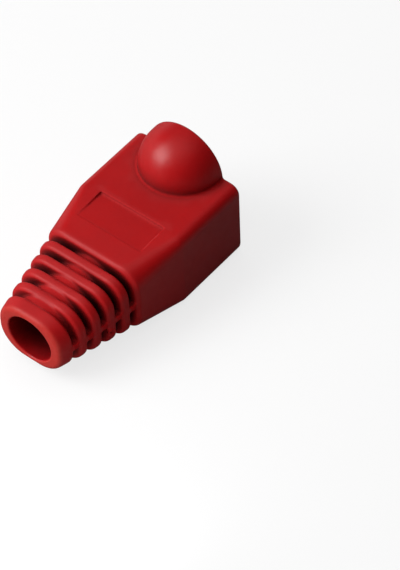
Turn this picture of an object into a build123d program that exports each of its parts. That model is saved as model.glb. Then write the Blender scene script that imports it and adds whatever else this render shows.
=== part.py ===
"""Strain relief boot for an RJ45 plug: one soft moulded piece.

X runs across the boot, Y runs along the cable from the plug mouth to the tail, and Z is up.
The origin is under the middle of the boot, on the plane of its flat underside.
"""

import os

from build123d import *

# Plug housing, the straight front part
housing_width = 14.4
housing_height = 10.25
housing_length = 9.87
housing_corner_radius = 1.22

# Shoulder, which narrows from the housing to the ribbed tail
shoulder_length = 6.73
shoulder_side_inset = 0.885
shoulder_top_inset = 0.52
shoulder_corner_growth = 1.35
shoulder_edge_break = 0.34

# Ribbed tail: drafted plates on a thin tube, joined by a web on the parting plane
rib_count = 4
rib_thickness = 1.15
rib_gap = 0.78
rib_draft = 8
rib_edge_break = 0.23
rib_side_inset = 0.14
rib_top_inset = 0.18
tail_start_corner_radius = 2.4
web_thickness = 0.75

# End ring of the tail
ring_length = 1.92
ring_side_wall = 1.33
ring_top_wall = 0.74
ring_corner_radius = 3.4
ring_end_radius = 0.58

# Cable passage and the tube around it
bore_radius = 2.95
bore_edge_break = 0.12
tube_wall = 0.68

# Plug pocket
side_wall = 1.3
pocket_depth = 9.9
pocket_floor = 1.9
pocket_roof = 0.95
lip_height = 0.2
lip_length = 0.75

# Throat between the plug pocket and the cable passage
throat_clearance = 0.3
throat_wall = 1.0

# Latch dome over the mouth
dome_side_margin = 2.25
dome_wall = 0.65
dome_center_from_mouth = 1.02
dome_base_radius = 0.2

# Shallow panel sunk in the top, from just before the crease to where its floor meets the slope
panel_side_margin = 2.8
panel_length = 3.95
panel_lead = 0.34
panel_run_out = 0.5

# Broken outer edge of the mouth
mouth_edge_break = 0.18

# Places along the cable and heights, worked out from the sizes above
gap_count = rib_count + 1
rib_pitch = rib_gap + rib_thickness
tail_length = gap_count * rib_gap + rib_count * rib_thickness + ring_length
boot_length = housing_length + shoulder_length + tail_length
mouth_y = -boot_length / 2
crease_y = mouth_y + housing_length
tail_y = crease_y + shoulder_length
first_rib_y = tail_y + rib_gap
ring_y = first_rib_y + rib_count * rib_pitch
end_y = boot_length / 2
axis_z = housing_height / 2
tube_radius = bore_radius + tube_wall
shoulder_end_width = housing_width - 2 * shoulder_side_inset
shoulder_end_height = housing_height - 2 * shoulder_top_inset
shoulder_end_corner_radius = housing_corner_radius + shoulder_corner_growth
tail_start_width = shoulder_end_width - 2 * rib_side_inset
tail_start_height = shoulder_end_height - 2 * rib_top_inset
ring_width = 2 * (bore_radius + ring_side_wall)
ring_height = 2 * (bore_radius + ring_top_wall)
dome_radius = housing_width / 2 - dome_side_margin
panel_width = housing_width - 2 * panel_side_margin
panel_y = crease_y - panel_lead
panel_depth = (panel_length - panel_lead) * shoulder_top_inset / shoulder_length
panel_floor_z = housing_height - panel_depth
panel_cut_length = panel_length + panel_run_out
pocket_width = housing_width - 2 * side_wall
pocket_top_z = housing_height - pocket_roof
pocket_height = pocket_top_z - pocket_floor
throat_end_size = 2 * (bore_radius + throat_clearance)
dome_y = mouth_y + dome_center_from_mouth
dome_axis = Axis((0, 0, housing_height), (0, 1, 0))


def across(y):
    """Plane square to the cable at y, with its normal towards the tail."""
    return Plane(origin=(0, y, 0), x_dir=(-1, 0, 0), z_dir=(0, 1, 0))


def tail_size(y):
    """Width, height and corner radius of the tail's outside at y."""
    share = (y - tail_y) / tail_length
    width = tail_start_width + (ring_width - tail_start_width) * share
    height = tail_start_height + (ring_height - tail_start_height) * share
    radius = tail_start_corner_radius + (ring_corner_radius - tail_start_corner_radius) * share
    return width, height, radius


def barrel_profile(radius):
    """Half section of a barrel with a round back, about the dome's axis."""
    with BuildSketch(Plane.YZ) as section:
        with BuildLine():
            front = Line((mouth_y, housing_height), (mouth_y, housing_height + radius))
            Line(front @ 1, (dome_y, housing_height + radius))
            back = CenterArc((dome_y, housing_height), radius, 90, -90)
            Line(back @ 1, front @ 0)
        make_face()
    return section.sketch


# Ribs: plates with draft and broken rims
with BuildPart() as ribs:
    for rib in range(rib_count):
        rib_y = first_rib_y + rib * rib_pitch
        with BuildSketch(across(rib_y)):
            with Locations((0, axis_z)):
                RectangleRounded(*tail_size(rib_y))
        extrude(amount=rib_thickness, taper=rib_draft)
    chamfer(ribs.faces().filter_by(Axis.Y).edges(), rib_edge_break)

# End ring: like a rib but thicker, with a well rounded outer end
with BuildPart() as ring:
    for y in (ring_y, end_y):
        with BuildSketch(across(y)):
            with Locations((0, axis_z)):
                RectangleRounded(*tail_size(y))
    loft(ruled=True)
    chamfer(ring.faces().sort_by(Axis.Y)[0].edges(), rib_edge_break)
    fillet(ring.faces().sort_by(Axis.Y)[-1].edges(), ring_end_radius)

# The whole boot
with BuildPart() as boot:
    # Plug housing
    with BuildSketch(across(mouth_y)):
        with Locations((0, axis_z)):
            RectangleRounded(housing_width, housing_height, housing_corner_radius)
    extrude(amount=housing_length)

    # Shoulder
    with BuildSketch(across(crease_y)):
        with Locations((0, axis_z)):
            RectangleRounded(housing_width, housing_height, housing_corner_radius)
    with BuildSketch(across(tail_y)):
        with Locations((0, axis_z)):
            RectangleRounded(shoulder_end_width, shoulder_end_height, shoulder_end_corner_radius)
    loft(ruled=True)
    chamfer(boot.faces().sort_by(Axis.Y)[-1].edges(), shoulder_edge_break)

    # Latch dome: a short barrel from the mouth with a round back
    revolve(barrel_profile(dome_radius), axis=dome_axis)
    fillet(boot.edges(Select.NEW), dome_base_radius)

    # Shallow panel: its level floor runs out on the sloping top of the shoulder
    with BuildSketch(Plane.XY.offset(panel_floor_z)):
        with Locations((0, panel_y + panel_cut_length / 2)):
            Rectangle(panel_width, panel_cut_length)
    extrude(amount=panel_depth, mode=Mode.SUBTRACT)

    # Tail: tube, web, ribs and end ring
    with BuildSketch(across(tail_y)):
        with Locations((0, axis_z)):
            Circle(tube_radius)
    extrude(amount=ring_y - tail_y)
    for y in (tail_y, ring_y + rib_edge_break):
        with BuildSketch(across(y)):
            with Locations((0, axis_z)):
                Rectangle(tail_size(y)[0], web_thickness)
    loft(ruled=True)
    add(ribs.part)
    add(ring.part)

    # Plug pocket, with a low lip left standing across the floor at the mouth
    with BuildSketch(across(mouth_y)):
        with Locations((0, (pocket_floor + lip_height + pocket_top_z) / 2)):
            Rectangle(pocket_width, pocket_height - lip_height)
    extrude(amount=lip_length, mode=Mode.SUBTRACT)
    with BuildSketch(across(mouth_y + lip_length)):
        with Locations((0, (pocket_floor + pocket_top_z) / 2)):
            Rectangle(pocket_width, pocket_height)
    extrude(amount=pocket_depth - lip_length, mode=Mode.SUBTRACT)

    # Latch space under the dome
    revolve(barrel_profile(dome_radius - dome_wall), axis=dome_axis, mode=Mode.SUBTRACT)

    # Throat: a funnel from the pocket to the cable passage
    with BuildSketch(across(mouth_y + pocket_depth)):
        with Locations((0, (pocket_floor + pocket_top_z) / 2)):
            Rectangle(pocket_width, pocket_height)
    with BuildSketch(across(tail_y - throat_wall)):
        with Locations((0, axis_z)):
            Rectangle(throat_end_size, throat_end_size)
    loft(ruled=True, mode=Mode.SUBTRACT)

    # Cable passage, with its edge broken at the tail's end
    with BuildSketch(across(end_y)):
        with Locations((0, axis_z)):
            Circle(bore_radius)
    extrude(amount=-(tail_length + throat_wall), mode=Mode.SUBTRACT)
    chamfer(boot.faces().sort_by(Axis.Y)[-1].inner_wires().edges(), bore_edge_break)

    # Broken outer edge of the mouth
    mouth_face = boot.faces().sort_by(Axis.Y)[0]
    chamfer(mouth_face.outer_wire().edges(), mouth_edge_break)

boot.part.label = "boot"
os.makedirs("parts", exist_ok=True)
export_step(boot.part, "parts/boot.step")
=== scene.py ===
"""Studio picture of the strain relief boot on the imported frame, in metres."""
import math

import bpy
import numpy as np
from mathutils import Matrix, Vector


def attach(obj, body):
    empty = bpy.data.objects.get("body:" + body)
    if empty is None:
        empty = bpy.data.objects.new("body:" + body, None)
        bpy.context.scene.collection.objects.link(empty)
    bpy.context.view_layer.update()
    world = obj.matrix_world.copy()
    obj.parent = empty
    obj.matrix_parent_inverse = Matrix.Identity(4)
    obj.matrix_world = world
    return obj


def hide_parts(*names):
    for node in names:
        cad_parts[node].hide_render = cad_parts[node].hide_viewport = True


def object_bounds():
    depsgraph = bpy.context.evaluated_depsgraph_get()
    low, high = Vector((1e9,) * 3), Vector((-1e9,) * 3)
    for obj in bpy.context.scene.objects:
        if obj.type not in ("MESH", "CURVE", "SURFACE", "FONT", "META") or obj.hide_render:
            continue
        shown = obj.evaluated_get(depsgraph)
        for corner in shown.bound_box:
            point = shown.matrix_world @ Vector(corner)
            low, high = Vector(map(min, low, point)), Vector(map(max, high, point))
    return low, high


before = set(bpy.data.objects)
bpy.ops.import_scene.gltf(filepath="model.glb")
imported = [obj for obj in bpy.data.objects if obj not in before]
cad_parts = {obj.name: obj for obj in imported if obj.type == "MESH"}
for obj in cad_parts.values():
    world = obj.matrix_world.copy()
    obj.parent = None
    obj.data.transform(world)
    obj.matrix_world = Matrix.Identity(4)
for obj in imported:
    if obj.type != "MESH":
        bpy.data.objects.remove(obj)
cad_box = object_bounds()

# Places and sizes on the solid
axis_z = 0.005125
top_z = 0.01025
dome_y = -0.01249
dome_radius = 0.00495
panel_half_width = 0.0044
panel_far_y = -0.00398
panel_near_y = -0.00003
tail_y = 0.00309
rib_pitch = 0.00193
rib_gap = 0.00078
ring_y = 0.01159
bore_edge_radius = 0.003

# Skin: grid, rounding passes and size of the mesh
grid_step = 0.0001
smoothing_factor = 0.5
overall_passes = 3
edge_passes = 7
gap_passes = 30
most_triangles = 190000

# Where the skin is rounded less, and the floors of the gaps between ribs, where it is rounded more
panel_margin = 0.0004
panel_zone_z = 0.0094
bore_rim_radius = 0.0034
bore_rim_y = 0.0128
dome_foot_reach = 0.0007
gap_inner_radius = 0.0033
gap_outer_radius = 0.0041

# Depth of the panel at its near edge
panel_near_depth = 0.00005
panel_face_z = 0.0098

# Gate mark on the second rib
gate_place = np.array((-0.00557, 0.00660, 0.00380))
gate_radius = 0.00038
gate_ring_height = 0.00016
gate_ring_width = 0.00011
gate_pit_depth = 0.00022
gate_pit_width = 0.00017

# Zones of the skin that the material reads
gap_fade = 0.00008
foot_matt_reach = 0.0003
panel_end_reach = 0.0003
panel_end_margin = 0.0002
panel_end_z = 0.0096
panel_end_matt = 0.7
tail_matt = 0.3
tail_lead = 0.0007
tail_fade = 0.0003
# Where the painted sheen on the tail's end face starts, and how far it fades in
painted_sheen_y = 0.01295
painted_sheen_fade = 0.0004

# Noise patterns of the plastic: scale, detail and roughness
patterns = {
    "mottle": (260.0, 3.0, 0.5),
    "wave": (330.0, 2.0, 0.5),
    "cloud": (900.0, 4.0, 0.6),
    "dapple": (2600.0, 3.0, 0.6),
    "speck": (3600.0, 2.0, 0.5),
    "grain": (7000.0, 3.0, 0.65),
}

# Colours of the plastic; each layer has its pattern, the range of its heights and its greatest share
base_red = (0.405, 0.0042, 0.0058, 1)
colour_layers = (
    ("mottle", 0.30, 0.70, 1.00, (0.45, 0.0050, 0.0062, 1)),
    ("cloud", 0.35, 0.75, 0.25, (0.36, 0.0034, 0.0050, 1)),
    ("dapple", 0.35, 0.65, 0.28, (0.37, 0.0036, 0.0050, 1)),
    ("speck", 0.70, 0.80, 0.35, (0.30, 0.0030, 0.0045, 1)),
)
# Paler red painted on the tail's end face as a sheen, with its least and greatest share
painted_sheen_red = (0.46, 0.04, 0.028, 1)
painted_sheen_shares = (0.4, 0.7)
# Painted shade: a near-black red laid into deep hollows and the housing's tight corners, with its greatest
# share
painted_shade_red = (0.025, 0.0003, 0.0008, 1)
painted_shade_share = 0.97

# Openness of a place, from 0 in a deep hollow to 1 in the open
openness_samples = 6
deep_reach = 0.02
near_reach = 0.006
# Where painted shade darkens the colour: deep_range in deep hollows, foot_range in the housing's corners
deep_range = (0.25, 0.65)
foot_range = (0.42, 0.85)
corner_range = (0.5, 0.9)

# Finish of the plastic
noise_middle = (0.3, 0.7)
gloss_range = (0.33, 0.41)
corner_roughness = 0.75
matt_roughness = 0.95
wave_height = 0.00006
wave_strength = 0.5
grain_height = 0.000004
grain_strength = 0.6

# Studio: the floor, the white that each kind of ray meets, and what the lamps look at
floor_reach = 0.8
floor_grey = (0.2, 0.2, 0.2, 1)
floor_white = (0.9, 0.9, 0.9, 1)
floor_white_share = 0.75
world_white_share = 0.9
mirrored_white_share = 0.01
world_strength = 0.02
pure_white = (1, 1, 1, 1)
boot_middle = (0, 0, 0.006)
tail_end = (0, 0.0135, 0.005)

# Camera
sensor_width_mm = 36.0
focal_length_mm = 192.517
camera_place = (-0.148775, 0.157393, 0.253025)
camera_turn_degrees = (40.592, 1.7037, -141.107)


def connect(tree, value, socket):
    """Links a node's output to the socket, or sets a plain number or colour on it."""
    if isinstance(value, bpy.types.NodeSocket):
        tree.links.new(value, socket)
    else:
        socket.default_value = value


def new_material(name):
    """An empty node material with its tree and output."""
    material = bpy.data.materials.new(name)
    material.use_nodes = True
    material.node_tree.nodes.clear()
    output = material.node_tree.nodes.new("ShaderNodeOutputMaterial")
    return material, material.node_tree, output


def add(tree, kind, **sockets):
    """A node with the named inputs connected."""
    node = tree.nodes.new(kind)
    for name, value in sockets.items():
        connect(tree, value, node.inputs[name.replace("_", " ")])
    return node


def noise(tree, place, scale, detail, roughness):
    """Height of a noise pattern, from about 0 to 1, at the object's own places."""
    node = add(tree, "ShaderNodeTexNoise", Vector=place, Scale=scale, Detail=detail, Roughness=roughness)
    return node.outputs["Fac"]


def remap(tree, value, source, target):
    """The value moved from one range to another, held at the ends."""
    node = add(tree, "ShaderNodeMapRange", Value=value, From_Min=source[0], From_Max=source[1])
    connect(tree, target[0], node.inputs["To Min"])
    connect(tree, target[1], node.inputs["To Max"])
    return node.outputs["Result"]


def blend(tree, factor, first, second):
    """Two colours mixed by a factor."""
    node = tree.nodes.new("ShaderNodeMix")
    node.data_type = "RGBA"
    connect(tree, factor, node.inputs[0])
    connect(tree, first, node.inputs[6])
    connect(tree, second, node.inputs[7])
    return node.outputs[2]


def mixed(tree, factor, first, second):
    """Two shaders mixed by a factor."""
    node = tree.nodes.new("ShaderNodeMixShader")
    connect(tree, factor, node.inputs[0])
    connect(tree, first.outputs[0], node.inputs[1])
    connect(tree, second.outputs[0], node.inputs[2])
    return node.outputs[0]


def zone(tree, name):
    """Share of a zone that is stored on the skin's vertices."""
    node = tree.nodes.new("ShaderNodeAttribute")
    node.attribute_name = name
    return node.outputs["Fac"]


def openness(tree, reach):
    """How open a place is within a reach, as seen by the piece itself."""
    node = add(tree, "ShaderNodeAmbientOcclusion", Distance=reach)
    node.samples = openness_samples
    node.only_local = True
    return node.outputs["AO"]


def plastic_colour(tree, heights, nearby, tail):
    """Uneven red, paler on the tail's end face as a painted sheen, darkened by painted shade in deep
    hollows and in the housing's tight corners.
    """
    red = base_red
    for pattern, low, high, share, colour in colour_layers:
        red = blend(tree, remap(tree, heights[pattern], (low, high), (0.0, share)), red, colour)
    # Painted sheen: the tail's end face is laid paler, in dapples
    painted_sheen = remap(tree, heights["dapple"], noise_middle, painted_sheen_shares)
    red = blend(tree, remap(tree, zone(tree, "painted_sheen"), (0.0, 1.0), (0.0, painted_sheen)), red, painted_sheen_red)
    # Painted shade: deep hollows, and on the housing tight corners such as the dome's foot, are darkened
    deep = remap(tree, openness(tree, deep_reach), deep_range, (painted_shade_share, 0.0))
    red = blend(tree, deep, red, painted_shade_red)
    foot = remap(tree, nearby, foot_range, (painted_shade_share, 0.0))
    return blend(tree, remap(tree, tail, (0.0, 1.0), (foot, 0.0)), red, painted_shade_red)


def plastic_roughness(tree, heights, nearby, tail):
    """Satin with soft clouds, more matt in the housing's corners and in the matt zones."""
    satin = remap(tree, heights["cloud"], noise_middle, gloss_range)
    corner = remap(tree, nearby, corner_range, (corner_roughness, satin))
    housing_or_tail = remap(tree, tail, (0.0, 1.0), (corner, satin))
    return remap(tree, zone(tree, "matt"), (0.0, 1.0), (housing_or_tail, matt_roughness))


def bump(tree, height, distance, strength):
    """A node that roughens the surface normal by a height pattern."""
    return add(tree, "ShaderNodeBump", Height=height, Distance=distance, Strength=strength)


def plastic_normal(tree, heights):
    """Slow waves of the moulding with a fine grain on them."""
    wave = bump(tree, heights["wave"], wave_height, wave_strength)
    grain = bump(tree, heights["grain"], grain_height, grain_strength)
    tree.links.new(wave.outputs["Normal"], grain.inputs["Normal"])
    return grain.outputs["Normal"]


def red_plastic():
    """Red soft PVC, as it comes from the mould."""
    material, tree, output = new_material("red_soft_pvc")
    place = tree.nodes.new("ShaderNodeTexCoord").outputs["Object"]
    heights = {name: noise(tree, place, *values) for name, values in patterns.items()}
    nearby = openness(tree, near_reach)
    tail = zone(tree, "tail")
    surface = tree.nodes.new("ShaderNodeBsdfPrincipled")
    connect(tree, plastic_colour(tree, heights, nearby, tail), surface.inputs["Base Color"])
    connect(tree, plastic_roughness(tree, heights, nearby, tail), surface.inputs["Roughness"])
    connect(tree, plastic_normal(tree, heights), surface.inputs["Normal"])
    surface.inputs["IOR"].default_value = 1.5
    surface.inputs["Specular IOR Level"].default_value = 0.35
    surface.inputs["Subsurface Weight"].default_value = 0.06
    surface.inputs["Subsurface Radius"].default_value = (1.0, 0.15, 0.1)
    surface.inputs["Subsurface Scale"].default_value = 0.0004
    tree.links.new(surface.outputs["BSDF"], output.inputs["Surface"])
    return material


def applied(piece):
    """Works the piece's modifiers into its mesh."""
    graph = bpy.context.evaluated_depsgraph_get()
    mesh = bpy.data.meshes.new_from_object(piece.evaluated_get(graph))
    piece.modifiers.clear()
    piece.data = mesh


def points(mesh, field="co"):
    """One row of three numbers for each vertex."""
    rows = np.empty(len(mesh.vertices) * 3)
    mesh.vertices.foreach_get(field, rows)
    return rows.reshape(-1, 3)


def move_points(mesh, spots):
    """Puts each vertex at its new place."""
    mesh.vertices.foreach_set("co", spots.ravel())


def smooth(piece, passes, chosen):
    """Rounds the piece's edges at the chosen vertices."""
    group = piece.vertex_groups.new(name="chosen")
    group.add(np.flatnonzero(chosen).tolist(), 1.0, "REPLACE")
    rounding = piece.modifiers.new("rounding", "SMOOTH")
    rounding.factor = smoothing_factor
    rounding.iterations = passes
    rounding.vertex_group = "chosen"
    applied(piece)
    piece.vertex_groups.clear()


def from_axis(spots):
    """Distance of each spot from the cable's axis."""
    return np.hypot(spots[:, 0], spots[:, 2] - axis_z)


def from_dome(spots):
    """Distance of each spot from the dome's middle line, seen from above."""
    return np.hypot(spots[:, 0], np.maximum(spots[:, 1] - dome_y, 0))


def sharper_edges(spots):
    """Where edges stay sharper: round the panel, at the bore's rim and at the dome's foot."""
    x, y, z = spots.T
    panel = (abs(x) < panel_half_width + panel_margin) & (z > panel_zone_z)
    panel &= (y > panel_far_y - panel_margin) & (y < panel_near_y + panel_margin)
    bore_rim = (from_axis(spots) < bore_rim_radius) & (y > bore_rim_y)
    dome_foot = abs(from_dome(spots) - dome_radius) < dome_foot_reach
    dome_foot &= abs(z - top_z) < dome_foot_reach
    return panel | bore_rim | dome_foot


def gap_floors(spots):
    """Floors of the gaps between the ribs, next to the tube."""
    radius = from_axis(spots)
    near_tube = (radius > gap_inner_radius) & (radius < gap_outer_radius)
    return near_tube & (spots[:, 1] > tail_y) & (spots[:, 1] < ring_y)


def sink_panel(mesh):
    """Gives the panel a little depth at its near edge."""
    spots = points(mesh)
    x, y, z = spots.T
    along = (y - panel_far_y) / (panel_near_y - panel_far_y)
    in_panel = (abs(x) < panel_half_width) & (along > 0) & (along < 1) & (z > panel_face_z)
    spots[in_panel, 2] -= panel_near_depth * along[in_panel]
    move_points(mesh, spots)


def raise_gate_mark(mesh):
    """A low ring round a small pit."""
    spots = points(mesh)
    radius = np.linalg.norm(spots - gate_place, axis=1)
    ring = gate_ring_height * np.exp(-((radius - gate_radius) / gate_ring_width) ** 2)
    pit = gate_pit_depth * np.exp(-(radius / gate_pit_width) ** 2)
    move_points(mesh, spots + points(mesh, "normal") * (ring - pit)[:, None])


def thin_out(piece):
    """Brings the piece down to its number of triangles."""
    piece.data.calc_loop_triangles()
    lighter = piece.modifiers.new("lighter", "DECIMATE")
    lighter.ratio = min(1.0, most_triangles / len(piece.data.loop_triangles))
    applied(piece)


def tail_share(spots):
    """0 on the housing and 1 on the tail."""
    return np.clip((spots[:, 1] - tail_y + tail_lead) / tail_fade, 0, 1)


def painted_sheen_share(spots):
    """1 on the end face of the tail, outside the bore, where the material paints a paler sheen."""
    face = np.clip((spots[:, 1] - painted_sheen_y) / painted_sheen_fade, 0, 1)
    return face * (from_axis(spots) > bore_edge_radius)


def matt_share(spots):
    """How matt a spot is: gaps between the ribs, dome's foot, panel's far end and, less, the whole tail."""
    x, y, z = spots.T
    radius = from_axis(spots)
    phase = (y - tail_y) % rib_pitch
    matt = np.clip(np.minimum(phase, rib_gap - phase) / gap_fade, 0, 1)
    matt *= (y > tail_y) & (y < ring_y) & (radius > gap_inner_radius)
    # All matt within the foot's reach, fading out at twice that
    from_foot = np.hypot(from_dome(spots) - dome_radius, z - top_z)
    matt = np.maximum(matt, np.clip(2 - from_foot / foot_matt_reach, 0, 1))
    panel_end = (abs(y - panel_far_y) < panel_end_reach) & (abs(x) < panel_half_width + panel_end_margin)
    matt[panel_end & (z > panel_end_z)] = panel_end_matt
    return np.where(radius > bore_edge_radius, np.maximum(matt, tail_matt * tail_share(spots)), matt)


def store_zone(mesh, name, shares):
    """Stores one number for each vertex, for the material to read."""
    mesh.attributes.new(name, "FLOAT", "POINT").data.foreach_set("value", shares)


def rounded_skin(solid):
    """The solid's surface on an even grid, its edges rounded as soft plastic leaves the mould."""
    skin = bpy.data.objects.new("boot_skin", solid.data.copy())
    bpy.context.scene.collection.objects.link(skin)
    grid = skin.modifiers.new("even_grid", "REMESH")
    grid.mode = "VOXEL"
    grid.voxel_size = grid_step
    applied(skin)
    smooth(skin, overall_passes, np.ones(len(skin.data.vertices), bool))
    smooth(skin, edge_passes, ~sharper_edges(points(skin.data)))
    smooth(skin, gap_passes, gap_floors(points(skin.data)))
    sink_panel(skin.data)
    raise_gate_mark(skin.data)
    thin_out(skin)
    skin.data.shade_smooth()
    return skin


def finish_skin(mesh):
    """Keeps the mesh inside the solid's box, stores its zones and gives it its material."""
    spots = np.clip(points(mesh), cad_box[0], cad_box[1])
    move_points(mesh, spots)
    store_zone(mesh, "tail", tail_share(spots))
    # Zone where the material paints a paler sheen on the tail's end face
    store_zone(mesh, "painted_sheen", painted_sheen_share(spots))
    store_zone(mesh, "matt", matt_share(spots))
    mesh.materials.clear()
    mesh.materials.append(red_plastic())


def white_share(tree, to_camera):
    """How much white a ray meets: most for the camera, a little in reflections and through glass."""
    path = tree.nodes.new("ShaderNodeLightPath")
    shares = {
        "Is Camera Ray": to_camera,
        "Is Glossy Ray": mirrored_white_share,
        "Is Transmission Ray": mirrored_white_share,
    }
    total = 0.0
    for ray, share in shares.items():
        part = tree.nodes.new("ShaderNodeMath")
        part.operation = "MULTIPLY_ADD"
        connect(tree, path.outputs[ray], part.inputs[0])
        connect(tree, share, part.inputs[1])
        connect(tree, total, part.inputs[2])
        total = part.outputs[0]
    return total


def floor_material():
    """Matt paper: white to the camera, with the boot's shadow on it, and grey to all other rays."""
    material, tree, output = new_material("white_floor")
    seen = tree.nodes.new("ShaderNodeLightPath").outputs["Is Camera Ray"]
    paper = add(tree, "ShaderNodeBsdfDiffuse", Color=blend(tree, seen, floor_grey, floor_white))
    white = add(tree, "ShaderNodeEmission", Color=pure_white, Strength=1.0)
    shader = mixed(tree, white_share(tree, floor_white_share), paper, white)
    tree.links.new(shader, output.inputs["Surface"])
    return material


def pale_floor():
    """A wide square floor under the boot."""
    low, high = -floor_reach, floor_reach
    corners = [(low, low, 0), (high, low, 0), (high, high, 0), (low, high, 0)]
    mesh = bpy.data.meshes.new("floor")
    mesh.from_pydata(corners, [], [(0, 1, 2, 3)])
    mesh.materials.append(floor_material())
    floor = bpy.data.objects.new("floor", mesh)
    bpy.context.scene.collection.objects.link(floor)
    return floor


def studio_world():
    """A white surround to the camera, and a dim one that lights the boot."""
    world = bpy.data.worlds.new("studio")
    world.use_nodes = True
    tree = world.node_tree
    tree.nodes.clear()
    dim = add(tree, "ShaderNodeBackground", Color=pure_white, Strength=world_strength)
    bright = add(tree, "ShaderNodeBackground", Color=pure_white, Strength=1.0)
    output = tree.nodes.new("ShaderNodeOutputWorld")
    tree.links.new(mixed(tree, white_share(tree, world_white_share), dim, bright), output.inputs["Surface"])
    return world


def soft_box(name, target, direction, distance, size, power, mirrored=True):
    """A soft rectangular lamp that looks at the target from a direction, out of the camera's sight."""
    lamp = bpy.data.lights.new(name, "AREA")
    lamp.shape = "RECTANGLE"
    lamp.size, lamp.size_y = size
    lamp.energy = power
    box = bpy.data.objects.new(name, lamp)
    towards = Vector(direction).normalized()
    box.location = Vector(target) + towards * distance
    box.rotation_euler = towards.to_track_quat("Z", "Y").to_euler()
    box.visible_camera = False
    box.visible_glossy = mirrored
    bpy.context.scene.collection.objects.link(box)


def photo_camera():
    """The camera at the photograph's viewing angle; its sensor width goes with the picture's long side."""
    lens = bpy.data.cameras.new("camera")
    lens.sensor_width = sensor_width_mm
    lens.lens = focal_length_mm
    lens.clip_start = 0.01
    lens.clip_end = 10.0
    camera = bpy.data.objects.new("camera", lens)
    camera.location = camera_place
    camera.rotation_euler = [math.radians(angle) for angle in camera_turn_degrees]
    bpy.context.scene.collection.objects.link(camera)
    return camera


# The boot
skin = rounded_skin(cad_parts["boot"])
finish_skin(skin.data)
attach(skin, "root")
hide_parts("boot")

# The studio: a key lamp, a broad lamp overhead, two wide cards and two small ones by the tail's end
floor = pale_floor()
bpy.context.scene.world = studio_world()
soft_box("key", boot_middle, (0.53, 0.57, 0.63), 0.3, (0.19, 0.19), 0.84)
soft_box("overhead", boot_middle, (0.05, 0.0, 1.0), 0.4, (0.45, 0.45), 0.9, mirrored=False)
soft_box("left_card", boot_middle, (1.0, -0.15, 0.15), 0.3, (0.4, 0.15), 0.11)
soft_box("back_card", boot_middle, (0.3, -1.0, 0.2), 0.35, (0.3, 0.2), 0.17)
soft_box("front_card", tail_end, (0.45, 1.0, 0.2), 0.05, (0.03, 0.02), 0.009, mirrored=False)
soft_box("right_card", tail_end, (-0.9, 0.75, 0.15), 0.03, (0.012, 0.012), 0.0018, mirrored=False)

# The picture
bpy.context.scene.camera = photo_camera()
bpy.context.scene.view_settings.view_transform = "Standard"
